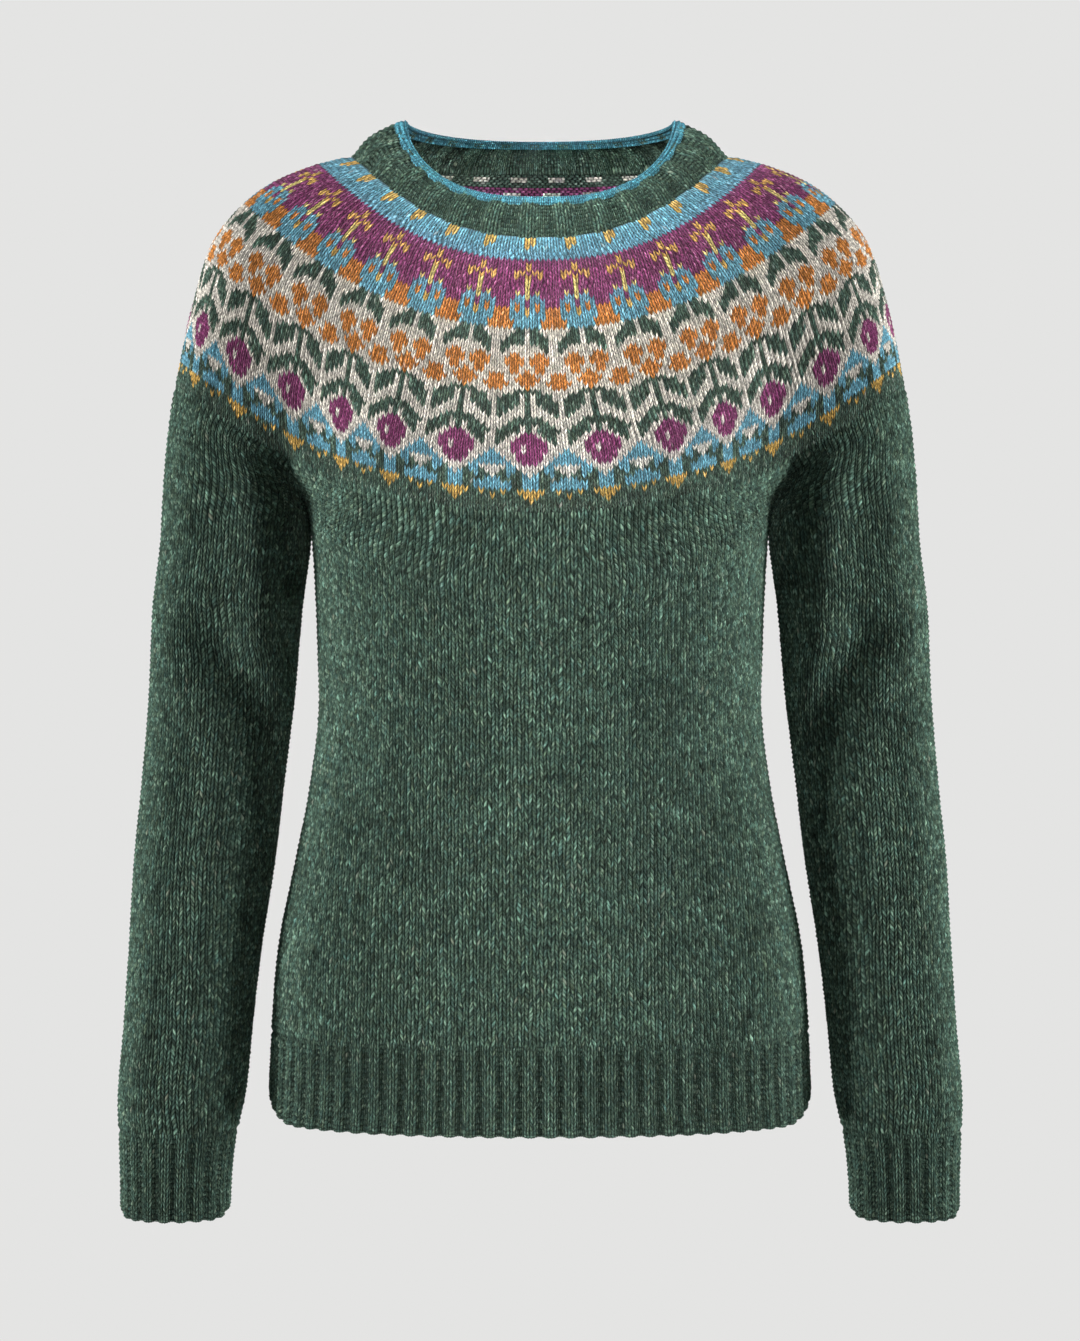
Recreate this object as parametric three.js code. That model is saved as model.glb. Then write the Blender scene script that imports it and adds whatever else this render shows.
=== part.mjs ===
// Women's round-yoke pullover, filled out as worn, with no wearer. Millimetres, +Z up.
// The front faces -Y. Left and right are the wearer's, so the left sleeve lies towards +X.
// Origin: the middle of the neck opening, level with the neckband seam at the shoulders.
// Every piece is a knitted wall: a grid of points on its outer side, thickened inwards.

import * as THREE from 'three';

// Driving dimensions
const plainWall = 2.6;
const ribWall = 3.0;
const edgeWall = 3.4;
const seamGap = 0.3;
const creaseTurn = THREE.MathUtils.degToRad(42.6);
const creaseSpread = THREE.MathUtils.degToRad(11);
const bodyRoundness = 2.2;
const ribTopZ = -547;
const hemZ = -603;
const cuffTopZ = -611;
const cuffEndZ = -670;

// Columns and rows of each wall's grid
const frontColumns = 20;
const backColumns = 20;
const armColumns = 16;
const yokeRows = 8;
const bandRows = 2;
const raglanRows = 5;
const bodyRows = 7;
const sleeveRows = 9;
const ribRows = 2;

// Neckband, from its seam (0) to its cast-off edge (1). "lift" shapes the dip between the sides.
const bandEdgeStart = 0.81;
const neckRings = [
  { at: 0, halfWidth: 118, sideZ: 0, frontY: -94, frontZ: -61, backY: 82, backZ: -12, lift: 2.3 },
  { at: 0.5, halfWidth: 106.5, sideZ: 11.5, frontY: -86.5, frontZ: -47.5, backY: 75.5, backZ: 3, lift: 2.3 },
  { at: 1, halfWidth: 92, sideZ: 20, frontY: -76, frontZ: -36, backY: 66, backZ: 16, lift: 2.2 },
];

// Yoke, from the neck seam (0) to the body (1)
const yokeRings = [
  { at: 0, halfWidth: 118, sideZ: 0, frontY: -94, frontZ: -61, backY: 82, backZ: -12, lift: 2.3 },
  { at: 0.15, halfWidth: 146.5, sideZ: -7.5, frontY: -108, frontZ: -82, backY: 98, backZ: -34, lift: 2.3 },
  { at: 0.3, halfWidth: 173.5, sideZ: -20, frontY: -118, frontZ: -106, backY: 107, backZ: -60, lift: 2.2 },
  { at: 0.5, halfWidth: 202, sideZ: -48, frontY: -126, frontZ: -140, backY: 113, backZ: -95, lift: 2.1 },
  { at: 0.75, halfWidth: 218.6, sideZ: -94, frontY: -132, frontZ: -184, backY: 115, backZ: -140, lift: 2.15 },
  { at: 1, halfWidth: 228.7, sideZ: -142, frontY: -134, frontZ: -228, backY: 112, backZ: -187, lift: 2.1 },
];

// The four armhole folds: how far the yoke is drawn in there, as a share of its depth
const armholeFolds = [
  { at: 0, depth: 0 },
  { at: 0.3, depth: 0 },
  { at: 0.5, depth: 0.08 },
  { at: 0.75, depth: 0.28 },
  { at: 1, depth: 0.48 },
];

// Body, by the height of the side seam. The first row is the underarm.
const bodyRings = [
  { at: -232, halfWidth: 144, frontY: -137, frontZ: -285, backY: 108, backZ: -250 },
  { at: -240, halfWidth: 144, frontY: -136, frontZ: -291, backY: 107, backZ: -257 },
  { at: -280, halfWidth: 141.8, frontY: -131, frontZ: -322, backY: 101, backZ: -294 },
  { at: -318, halfWidth: 139.9, frontY: -125, frontZ: -352, backY: 96, backZ: -329 },
  { at: -343, halfWidth: 139, frontY: -121, frontZ: -373, backY: 94, backZ: -352 },
  { at: -394, halfWidth: 144, frontY: -117, frontZ: -416, backY: 98, backZ: -400 },
  { at: -444, halfWidth: 153.7, frontY: -115.5, frontZ: -459, backY: 107, backZ: -448 },
  { at: -494, halfWidth: 163.8, frontY: -115, frontZ: -502, backY: 115, backZ: -496 },
  { at: -547, halfWidth: 168.5, frontY: -114, frontZ: -547, backY: 119, backZ: -547 },
  { at: -603, halfWidth: 171, frontY: -112, frontZ: -603, backY: 120, backZ: -603 },
];

// Left sleeve, by height. The first row is the underarm; the inner side there touches the body.
const sleeveRings = [
  { at: -232, centreX: 191, centreY: 0, halfWidth: 47, halfDepth: 56 },
  { at: -240, centreX: 191, centreY: 0, halfWidth: 47, halfDepth: 56 },
  { at: -280, centreX: 195.2, centreY: -1, halfWidth: 46.8, halfDepth: 54 },
  { at: -343, centreX: 200.3, centreY: -4, halfWidth: 45.4, halfDepth: 51 },
  { at: -394, centreX: 205.3, centreY: -7, halfWidth: 44.3, halfDepth: 50 },
  { at: -444, centreX: 210.8, centreY: -11, halfWidth: 43.7, halfDepth: 48.5 },
  { at: -494, centreX: 216, centreY: -16, halfWidth: 41, halfDepth: 46 },
  { at: -545, centreX: 220.5, centreY: -20, halfWidth: 39.5, halfDepth: 43.5 },
  { at: -595, centreX: 225, centreY: -24, halfWidth: 38.4, halfDepth: 41 },
  { at: -611, centreX: 226.3, centreY: -25, halfWidth: 36.5, halfDepth: 38.5 },
  { at: -645, centreX: 227.8, centreY: -26, halfWidth: 34.3, halfDepth: 35.5 },
  { at: -670, centreX: 228, centreY: -26, halfWidth: 34, halfDepth: 35 },
];

const greenWool = { color: 0x36584a, roughness: 0.95, metalness: 0 };
const yokeWool = { color: 0x8f8f80, roughness: 0.95, metalness: 0 };
const blueWool = { color: 0x6fb6d6, roughness: 0.95, metalness: 0 };

const straightDown = new THREE.Vector3(0, 0, -1);

// Smooth curve through one column of a table (Catmull-Rom with uneven steps)
function readColumn(table, at, column) {
  let low = 0;
  while (low < table.length - 2 && directed(table, at) > directed(table, table[low + 1].at)) low += 1;
  const step = (index) => table[index + 1].at - table[index].at;
  const rise = (index) => (table[index + 1][column] - table[index][column]) / step(index);
  const slope = (index) => {
    if (index === 0) return rise(0);
    if (index === table.length - 1) return rise(index - 1);
    const share = step(index) / (step(index - 1) + step(index));
    return rise(index - 1) * share + rise(index) * (1 - share);
  };
  const part = (at - table[low].at) / step(low);
  const weights = hermiteWeights(part);
  return weights.start * table[low][column] + weights.end * table[low + 1][column]
    + step(low) * (weights.startSlope * slope(low) + weights.endSlope * slope(low + 1));
}

// Position along a table whose "at" column may rise or fall
function directed(table, at) {
  return at * Math.sign(table[1].at - table[0].at);
}

function readRing(table, at) {
  const ring = {};
  for (const column of Object.keys(table[0])) ring[column] = readColumn(table, at, column);
  return ring;
}

function hermiteWeights(part) {
  const square = part * part;
  const cube = square * part;
  return {
    start: 2 * cube - 3 * square + 1,
    end: 3 * square - 2 * cube,
    startSlope: cube - 2 * square + part,
    endSlope: cube - square,
  };
}

// A point on a neckband or yoke ring. Turn 0 is the front, a quarter turn the left shoulder.
function ringPoint(table, at, turn, foldDepth = 0) {
  const ring = readRing(table, at);
  const isFront = Math.cos(turn) > 0;
  const sine = Math.abs(Math.sin(turn));
  const cosine = Math.abs(Math.cos(turn));
  const fromCrease = (Math.atan2(sine, cosine) - creaseTurn) / creaseSpread;
  const fold = 1 - foldDepth * Math.exp(-fromCrease * fromCrease / 2);
  const endZ = isFront ? ring.frontZ : ring.backZ;
  return new THREE.Vector3(
    ring.halfWidth * Math.sin(turn),
    (isFront ? ring.frontY : ring.backY) * cosine * fold,
    ring.sideZ + (endZ - ring.sideZ) * (1 - sine ** ring.lift),
  );
}

// A point on the body below the underarm. Turn -quarter is the right side seam, 0 the middle.
function bodyPoint(sideZ, turn, isFront) {
  const ring = readRing(bodyRings, sideZ);
  const power = 2 / bodyRoundness;
  const sine = Math.sin(turn);
  const cosine = Math.max(Math.cos(turn), 0);
  const middleZ = isFront ? ring.frontZ : ring.backZ;
  return new THREE.Vector3(
    ring.halfWidth * Math.sign(sine) * Math.abs(sine) ** power,
    (isFront ? ring.frontY : ring.backY) * cosine ** power,
    sideZ + (middleZ - sideZ) * cosine * cosine,
  );
}

// A point on the left sleeve below the underarm. The turn runs from the underarm seam (0) past
// the front and the outer side (pi) to the back and the seam again.
function sleevePoint(z, turn) {
  const ring = readRing(sleeveRings, z);
  return new THREE.Vector3(
    ring.centreX - ring.halfWidth * Math.cos(turn),
    ring.centreY - ring.halfDepth * Math.sin(turn),
    z,
  );
}

// Parameters that cut a curve into equal lengths
function evenSteps(curve, from, to, count) {
  const fineCount = count * 40;
  const lengths = [0];
  let previous = curve(from);
  for (let index = 1; index <= fineCount; index += 1) {
    const point = curve(from + (to - from) * index / fineCount);
    lengths.push(lengths[index - 1] + point.distanceTo(previous));
    previous = point;
  }
  const steps = [from];
  let fine = 0;
  for (let index = 1; index < count; index += 1) {
    const wanted = lengths[fineCount] * index / count;
    while (lengths[fine + 1] < wanted) fine += 1;
    const part = (wanted - lengths[fine]) / (lengths[fine + 1] - lengths[fine]);
    steps.push(from + (to - from) * (fine + part) / fineCount);
  }
  steps.push(to);
  return steps;
}

// Direction in which a surface runs from one row to the next
function runDirection(surface, at, turn, step) {
  return surface(at + step, turn).sub(surface(at - step, turn)).normalize();
}

// Outward normal of a ring surface: "along" runs down the garment and turns run anticlockwise
function outwardNormal(surface, at, turn, step) {
  const down = surface(at + step, turn).sub(surface(at - step, turn));
  const around = surface(at, turn + 0.004).sub(surface(at, turn - 0.004));
  return down.cross(around).normalize();
}

const yokeSurface = (at, turn) => ringPoint(yokeRings, at, turn, readColumn(armholeFolds, at, 'depth'));
const neckSurface = (at, turn) => ringPoint(neckRings, at, turn);
const yokeHemDown = (turn) => runDirection(yokeSurface, 1, turn, 0.01);
const yokeHemNormal = (turn) => outwardNormal(yokeSurface, 1, turn, 0.01);

// The neckband stands up from the yoke, so both walls there share the direction between their normals
function neckSeamNormal(turn) {
  const bandNormal = outwardNormal(neckSurface, 0, turn, -0.01);
  return outwardNormal(yokeSurface, 0, turn, 0.01).add(bandNormal).normalize();
}

const quarter = Math.PI / 2;
const hemTurns = {
  front: evenSteps((turn) => yokeSurface(1, turn), -creaseTurn, creaseTurn, frontColumns),
  left: evenSteps((turn) => yokeSurface(1, turn), creaseTurn, Math.PI - creaseTurn, armColumns),
  back: evenSteps((turn) => yokeSurface(1, turn), Math.PI + creaseTurn, Math.PI - creaseTurn, backColumns),
};

// Once round the yoke: front, left shoulder, back, right shoulder
const roundTurns = [
  ...hemTurns.front.slice(0, -1),
  ...hemTurns.left.slice(0, -1),
  ...hemTurns.back.slice().reverse().slice(0, -1),
  ...hemTurns.left.map((turn) => 2 * Math.PI - turn).reverse().slice(0, -1),
];

// One grid entry: a point on the outer side and the vector through the wall to the inner side
function knot(outer, normal, wall) {
  return { outer, inward: normal.clone().multiplyScalar(-wall) };
}

function shift(entry, direction, distance) {
  entry.outer.addScaledVector(direction, distance);
}

// Closed wall from a grid of rows; "closedRound" joins the last column to the first
function wallGeometry(rows, closedRound) {
  const rowCount = rows.length;
  const columnCount = rows[0].length;
  const positions = [];
  for (const isOuter of [true, false]) {
    for (const row of rows) {
      for (const entry of row) {
        const point = isOuter ? entry.outer : entry.outer.clone().add(entry.inward);
        positions.push(point.x, point.y, point.z);
      }
    }
  }
  const innerStart = rowCount * columnCount;
  const indices = [];
  const quad = (a, b, c, d) => indices.push(a, b, c, a, c, d);
  const spans = closedRound ? columnCount : columnCount - 1;
  for (let column = 0; column < spans; column += 1) {
    const next = (column + 1) % columnCount;
    for (let row = 0; row < rowCount - 1; row += 1) {
      const above = row * columnCount;
      const below = above + columnCount;
      quad(above + column, below + column, below + next, above + next);
      quad(innerStart + above + column, innerStart + above + next, innerStart + below + next,
        innerStart + below + column);
    }
    const last = (rowCount - 1) * columnCount;
    quad(column, next, innerStart + next, innerStart + column);
    quad(last + next, last + column, innerStart + last + column, innerStart + last + next);
  }
  if (!closedRound) {
    for (let row = 0; row < rowCount - 1; row += 1) {
      const first = row * columnCount;
      const end = first + columnCount - 1;
      quad(first + columnCount, first, innerStart + first, innerStart + first + columnCount);
      quad(end, end + columnCount, innerStart + end + columnCount, innerStart + end);
    }
  }
  const geometry = new THREE.BufferGeometry();
  geometry.setAttribute('position', new THREE.Float32BufferAttribute(positions, 3));
  geometry.setIndex(indices);
  geometry.computeVertexNormals();
  return geometry;
}

function mirrorRows(rows) {
  const flip = (vector) => new THREE.Vector3(-vector.x, vector.y, vector.z);
  return rows.map((row) => row.map((entry) => (
    { outer: flip(entry.outer), inward: flip(entry.inward) })).reverse());
}

function clothMesh(name, look, rows, closedRound) {
  const mesh = new THREE.Mesh(wallGeometry(rows, closedRound), new THREE.MeshStandardMaterial(look));
  mesh.name = name;
  return mesh;
}

// Rows of a closed ring surface between two places, with its end rows' normals given
function ringRows(surface, from, to, count, wall, endNormals) {
  const rows = [];
  const step = Math.sign(to - from) * 0.01;
  for (let row = 0; row <= count; row += 1) {
    const at = from + (to - from) * row / count;
    rows.push(roundTurns.map((turn) => {
      let normal = outwardNormal(surface, at, turn, step);
      if (row === 0 && endNormals.first) normal = endNormals.first(turn);
      if (row === count && endNormals.last) normal = endNormals.last(turn);
      const entry = knot(surface(at, turn), normal, wall);
      if (row === 0) shift(entry, runDirection(surface, at, turn, step), seamGap / 2);
      if (row === count) shift(entry, runDirection(surface, at, turn, step), -seamGap / 2);
      return entry;
    }));
  }
  return rows;
}

// The neckband's rows run downwards like all the others, so its places run from 1 to 0
const bandEdgeNormal = (turn) => outwardNormal(neckSurface, bandEdgeStart, turn, -0.01);
const neckEdgeRows = ringRows(neckSurface, 1, bandEdgeStart, 1, edgeWall, { last: bandEdgeNormal });
const neckbandRows = ringRows(neckSurface, bandEdgeStart, 0, bandRows, ribWall,
  { first: bandEdgeNormal, last: neckSeamNormal });
const yokeWallRows = ringRows(yokeSurface, 0, 1, yokeRows, plainWall,
  { first: neckSeamNormal, last: yokeHemNormal });

// Blend between a point on the yoke's hem and one on the underarm ring, smooth at both ends
function raglanPoint(top, topDown, bottom, bottomDown, part) {
  const reach = top.distanceTo(bottom);
  const weights = hermiteWeights(part);
  return new THREE.Vector3()
    .addScaledVector(top, weights.start)
    .addScaledVector(bottom, weights.end)
    .addScaledVector(topDown, weights.startSlope * reach)
    .addScaledVector(bottomDown, weights.endSlope * reach);
}

// Normals of a grid of points, by differences between neighbours
function gridNormal(points, row, column) {
  const above = points[Math.max(row - 1, 0)][column];
  const below = points[Math.min(row + 1, points.length - 1)][column];
  const before = points[row][Math.max(column - 1, 0)];
  const after = points[row][Math.min(column + 1, points[row].length - 1)];
  return below.clone().sub(above).cross(after.clone().sub(before)).normalize();
}

// Grid of a panel that hangs from the yoke's hem: its raglan rows, then the rows below the underarm
function panelPoints(turns, lowerCurve, lowerFrom, lowerTo, levels) {
  const columns = turns.length - 1;
  const evenTurns = (level) => evenSteps((turn) => lowerCurve(level, turn), lowerFrom, lowerTo, columns);
  const underarmTurns = evenTurns(levels[0]);
  const points = [];
  const lowerDown = (turn) => lowerCurve(levels[0] - 0.5, turn).sub(lowerCurve(levels[0], turn)).normalize();
  for (let row = 0; row < raglanRows; row += 1) {
    points.push(turns.map((turn, column) => {
      const lowerTurn = underarmTurns[column];
      return raglanPoint(yokeSurface(1, turn), yokeHemDown(turn), lowerCurve(levels[0], lowerTurn),
        lowerDown(lowerTurn), row / raglanRows);
    }));
  }
  for (const level of levels) points.push(evenTurns(level).map((turn) => lowerCurve(level, turn)));
  return points;
}

// Turns the points into a wall. Along the raglan seams, the wall's direction swings from the yoke's
// normal to straight down at the underarm; below it, the two edges face "seamNormals".
function panelRows(points, turns, wall, seamNormals, raglanSide, seamSide) {
  const lastRow = points.length - 1;
  const lastColumn = turns.length - 1;
  return points.map((row, rowIndex) => row.map((point, column) => {
    const edge = column === 0 ? 0 : 1;
    const onEdge = column === 0 || column === lastColumn;
    const inRaglan = rowIndex <= raglanRows;
    let normal = gridNormal(points, rowIndex, column);
    if (rowIndex === 0) normal = yokeHemNormal(turns[column]);
    if (rowIndex === lastRow) normal.setZ(0).normalize();
    if (onEdge && inRaglan) {
      normal = yokeHemNormal(turns[column]).lerp(straightDown, rowIndex / raglanRows).normalize();
    }
    if (onEdge && !inRaglan) normal = seamNormals[edge].clone();
    const entry = knot(point.clone(), normal, wall);
    if (rowIndex === 0) shift(entry, yokeHemDown(turns[column]), seamGap / 2);
    if (rowIndex === lastRow) shift(entry, straightDown, -seamGap / 2);
    if (onEdge && inRaglan) shift(entry, raglanSide[edge], seamGap / 2);
    if (onEdge && rowIndex >= raglanRows) shift(entry, seamSide[edge], seamGap / 2);
    return entry;
  }));
}

// A rib below a panel: straight rows between two heights, its upper and side edges at the seams
function ribGrid(lowerCurve, from, to, topZ, endZ, columns, seamNormals, seamSide) {
  const points = [];
  for (let row = 0; row <= ribRows; row += 1) {
    const level = topZ + (endZ - topZ) * row / ribRows;
    const curve = (turn) => lowerCurve(level, turn);
    points.push(evenSteps(curve, from, to, columns).map(curve));
  }
  return points.map((row, rowIndex) => row.map((point, column) => {
    const edge = column === 0 ? 0 : 1;
    const onEdge = column === 0 || column === columns;
    const normal = onEdge ? seamNormals[edge].clone() : gridNormal(points, rowIndex, column);
    if (rowIndex === 0) normal.setZ(0).normalize();
    const entry = knot(point.clone(), normal, ribWall);
    if (rowIndex === 0) shift(entry, straightDown, seamGap / 2);
    if (onEdge) shift(entry, seamSide[edge], seamGap / 2);
    return entry;
  }));
}

function levelsBetween(top, bottom, count) {
  return Array.from({ length: count + 1 }, (_, index) => top + (bottom - top) * index / count);
}

const towardsLeft = new THREE.Vector3(1, 0, 0);
const towardsRight = new THREE.Vector3(-1, 0, 0);
const towardsFront = new THREE.Vector3(0, -1, 0);
const towardsBack = new THREE.Vector3(0, 1, 0);
const underarmZ = bodyRings[0].at;

// Front and back: seen from outside, their rows run from the wearer's right to left on the front
// and from left to right on the back
const bodySides = {
  front: {
    turns: hemTurns.front,
    curve: (level, turn) => bodyPoint(level, turn, true),
    edges: [-quarter, quarter],
    normals: [towardsRight, towardsLeft],
    inwards: [towardsLeft, towardsRight],
    seamSide: [towardsFront, towardsFront],
  },
  back: {
    turns: hemTurns.back.slice().reverse(),
    curve: (level, turn) => bodyPoint(level, turn, false),
    edges: [quarter, -quarter],
    normals: [towardsLeft, towardsRight],
    inwards: [towardsRight, towardsLeft],
    seamSide: [towardsBack, towardsBack],
  },
};

const group = new THREE.Group();
group.add(clothMesh('neck_edge', blueWool, neckEdgeRows, true));
group.add(clothMesh('neckband', greenWool, neckbandRows, true));
group.add(clothMesh('yoke', yokeWool, yokeWallRows, true));

for (const [name, side] of Object.entries(bodySides)) {
  const levels = levelsBetween(underarmZ, ribTopZ, bodyRows);
  const points = panelPoints(side.turns, side.curve, side.edges[0], side.edges[1], levels);
  const rows = panelRows(points, side.turns, plainWall, side.normals, side.inwards, side.seamSide);
  group.add(clothMesh(name, greenWool, rows, false));
  const rib = ribGrid(side.curve, side.edges[0], side.edges[1], ribTopZ, hemZ, side.turns.length - 1,
    side.normals, side.seamSide);
  group.add(clothMesh(`hem_rib_${name}`, greenWool, rib, false));
}

// Sleeves and cuffs: made for the left arm and mirrored for the right
const sleeveSeamNormals = [towardsRight, towardsRight];
const sleeveSeamSide = [towardsFront, towardsBack];
const sleeveLevels = levelsBetween(underarmZ, cuffTopZ, sleeveRows);
const sleeveGrid = panelRows(
  panelPoints(hemTurns.left, sleevePoint, 0, 2 * Math.PI, sleeveLevels),
  hemTurns.left, plainWall, sleeveSeamNormals, [towardsLeft, towardsLeft], sleeveSeamSide);
const cuffGrid = ribGrid(sleevePoint, 0, 2 * Math.PI, cuffTopZ, cuffEndZ, armColumns,
  sleeveSeamNormals, sleeveSeamSide);
group.add(clothMesh('sleeve_left', greenWool, sleeveGrid, false));
group.add(clothMesh('cuff_left', greenWool, cuffGrid, false));
group.add(clothMesh('sleeve_right', greenWool, mirrorRows(sleeveGrid), false));
group.add(clothMesh('cuff_right', greenWool, mirrorRows(cuffGrid), false));

export default group;
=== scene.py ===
import math
from functools import partial

import bpy
import numpy as np
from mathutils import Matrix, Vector


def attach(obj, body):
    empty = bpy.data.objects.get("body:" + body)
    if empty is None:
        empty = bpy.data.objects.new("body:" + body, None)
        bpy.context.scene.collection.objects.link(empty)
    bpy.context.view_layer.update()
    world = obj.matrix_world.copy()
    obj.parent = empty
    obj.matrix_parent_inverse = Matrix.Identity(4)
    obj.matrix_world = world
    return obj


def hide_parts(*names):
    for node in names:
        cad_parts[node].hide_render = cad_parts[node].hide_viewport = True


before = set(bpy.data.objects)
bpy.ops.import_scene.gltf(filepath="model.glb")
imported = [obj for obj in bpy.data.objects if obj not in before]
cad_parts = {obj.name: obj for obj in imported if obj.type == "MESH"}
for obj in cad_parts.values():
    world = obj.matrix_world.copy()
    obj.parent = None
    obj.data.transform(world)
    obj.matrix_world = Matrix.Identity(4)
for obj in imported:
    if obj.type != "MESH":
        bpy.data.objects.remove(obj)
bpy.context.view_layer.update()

# Metres, +Z up, the front faces -Y. Left is the wearer's left, towards +X.
# vDrop is in rows and sway in half stitches
gauge = {"stitch": 0.0045, "row": 0.0031, "vDrop": 1.2, "sway": 0.13, "straightLines": 3}
wall = {"plain": 0.0026, "rib": 0.0046, "edge": 0.0056}
heights = {"ribTop": -0.547, "hem": -0.605, "cuffTop": -0.606, "cuffEnd": -0.6635, "underarm": -0.232}
cornerRadius = {"hem": 0.018, "cuff": 0.006}
crease = {"turn": math.radians(42.6), "spread": math.radians(11)}
bodyRoundness = 2.2
# Shares of the neckband's height: the ribs end inside the cast-off edge, which starts lower
neckHeights = {"bandTop": 0.93, "edgeStart": 0.82}
# Keeps the slope of a ring finite where its front and back meet at the shoulders
softTip = 0.01
# Creases fade out this close to the garment's side line
creaseFade = 0.03
# Lines that each surface is first shaped with
shapeLines = {"ring": 61, "raglan": 31, "panel": 91, "rib": 25}

# Neckband, from its seam (0) to its cast-off edge (1). "lift" and "power" shape how each ring rises
# from its middle to the shoulders.
neckRings = {
    "at": (0, 0.5, 1),
    "halfWidth": (0.118, 0.1055, 0.0825),
    "sideZ": (0, 0.0135, 0.0245),
    "frontY": (-0.094, -0.0865, -0.076),
    "frontZ": (-0.061, -0.0475, -0.0335),
    "backY": (0.082, 0.0795, 0.0735),
    "backZ": (0.002, 0.0120, 0.0207),
    "lift": (2.3, 2.4, 2.6),
    "power": (1, 0.8, 0.5),
}

# Yoke, from the neck seam (0) to the body (1)
yokeRings = {
    "at": (0, 0.15, 0.3, 0.5, 0.75, 1),
    "halfWidth": (0.118, 0.1465, 0.1735, 0.202, 0.2186, 0.2287),
    "sideZ": (0, -0.0075, -0.020, -0.048, -0.094, -0.142),
    "frontY": (-0.094, -0.108, -0.118, -0.126, -0.132, -0.134),
    "frontZ": (-0.061, -0.082, -0.106, -0.140, -0.184, -0.228),
    "backY": (0.082, 0.098, 0.107, 0.113, 0.115, 0.112),
    "backZ": (0.002, -0.031, -0.060, -0.095, -0.140, -0.187),
    "lift": (2.3, 2.3, 2.2, 2.1, 2.15, 2.1),
    "power": (1, 1, 1, 1, 1, 1),
}
# The yoke is drawn in at the four armhole folds, more towards the body
armholeFolds = {"at": (0, 0.3, 0.5, 0.75, 1), "depth": (0, 0, 0.08, 0.28, 0.48)}

# Body, by the height of the side seam
bodyRings = {
    "at": (-0.232, -0.240, -0.280, -0.318, -0.343, -0.394, -0.444, -0.494, -0.547, -0.603),
    "halfWidth": (0.144, 0.1432, 0.1405, 0.1392, 0.1385, 0.144, 0.1537, 0.1638, 0.1685, 0.1705),
    "frontY": (-0.137, -0.136, -0.131, -0.125, -0.121, -0.117, -0.1155, -0.115, -0.114, -0.112),
    "frontZ": (-0.285, -0.291, -0.322, -0.352, -0.373, -0.416, -0.459, -0.502, -0.547, -0.603),
    "backY": (0.108, 0.107, 0.101, 0.096, 0.094, 0.098, 0.107, 0.115, 0.119, 0.120),
    "backZ": (-0.250, -0.257, -0.294, -0.329, -0.352, -0.400, -0.448, -0.496, -0.547, -0.603),
}

# Left sleeve, by height
sleeveRings = {
    "at": (-0.232, -0.240, -0.280, -0.343, -0.394, -0.444, -0.494, -0.545, -0.595, -0.611, -0.645, -0.670),
    "centreX": (0.191, 0.1914, 0.1962, 0.2003, 0.2053, 0.2105, 0.2155, 0.220, 0.2243, 0.2256,
                0.2268, 0.227),
    "centreY": (0, 0, -0.001, -0.004, -0.007, -0.011, -0.016, -0.020, -0.024, -0.025, -0.026, -0.026),
    "halfWidth": (0.047, 0.047, 0.0468, 0.0454, 0.0443, 0.0437, 0.041, 0.0395, 0.0384, 0.0365,
                  0.0343, 0.034),
    "halfDepth": (0.056, 0.056, 0.054, 0.051, 0.050, 0.0485, 0.046, 0.0435, 0.041, 0.0385, 0.0355, 0.035),
}

# Creases, seen from the front or from the back: reach to either side, depth (troughs are negative
# and ridges positive), then x and z along each
creases = [
    # Front: armhole, elbow and the inside of the forearm, then the outer side, on each sleeve
    ("front", 0.010, -0.0165, ((0.163, -0.200), (0.152, -0.262))),
    ("front", 0.013, -0.0030, ((0.199, -0.216), (0.199, -0.300))),
    ("front", 0.012, 0.0060, ((0.177, -0.195), (0.172, -0.300))),
    ("front", 0.017, -0.0185, ((0.199, -0.300), (0.182, -0.343), (0.172, -0.372), (0.170, -0.420),
        (0.177, -0.470), (0.184, -0.530), (0.186, -0.585))),
    ("front", 0.014, -0.0022, ((0.228, -0.330), (0.214, -0.372))),
    ("front", 0.010, -0.0170, ((-0.162, -0.197), (-0.151, -0.266))),
    ("front", 0.014, -0.0033, ((-0.197, -0.210), (-0.198, -0.296))),
    ("front", 0.012, 0.0058, ((-0.176, -0.190), (-0.171, -0.304))),
    ("front", 0.018, -0.0190, ((-0.201, -0.306), (-0.182, -0.340), (-0.171, -0.366), (-0.169, -0.425),
        (-0.177, -0.474), (-0.184, -0.525), (-0.186, -0.580))),
    ("front", 0.013, -0.0020, ((-0.232, -0.350), (-0.212, -0.398))),
    # Front of the body, at the waist
    ("front", 0.022, -0.0026, ((0.136, -0.285), (0.112, -0.400))),
    ("front", 0.020, -0.0028, ((-0.134, -0.300), (-0.108, -0.420))),
    ("front", 0.020, 0.0050, ((0.146, -0.270), (0.138, -0.350), (0.142, -0.430), (0.156, -0.520))),
    ("front", 0.020, 0.0048, ((-0.147, -0.276), (-0.139, -0.356), (-0.143, -0.436), (-0.157, -0.515))),
    # Back: armholes, elbows, forearms, then the small of the back
    ("back", 0.012, -0.0090, ((0.172, -0.165), (0.158, -0.250))),
    ("back", 0.012, -0.0095, ((-0.170, -0.172), (-0.157, -0.256))),
    ("back", 0.015, -0.0055, ((0.214, -0.285), (0.188, -0.370), (0.180, -0.440))),
    ("back", 0.014, -0.0060, ((-0.220, -0.300), (-0.190, -0.392), (-0.181, -0.470))),
    ("back", 0.014, -0.0030, ((0.236, -0.395), (0.210, -0.455))),
    ("back", 0.014, -0.0028, ((-0.240, -0.372), (-0.210, -0.425))),
    ("back", 0.018, -0.0036, ((0.136, -0.290), (0.070, -0.385))),
    ("back", 0.020, -0.0038, ((-0.132, -0.310), (-0.055, -0.410))),
    ("back", 0.018, -0.0024, ((-0.050, -0.350), (0.045, -0.366))),
]


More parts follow.
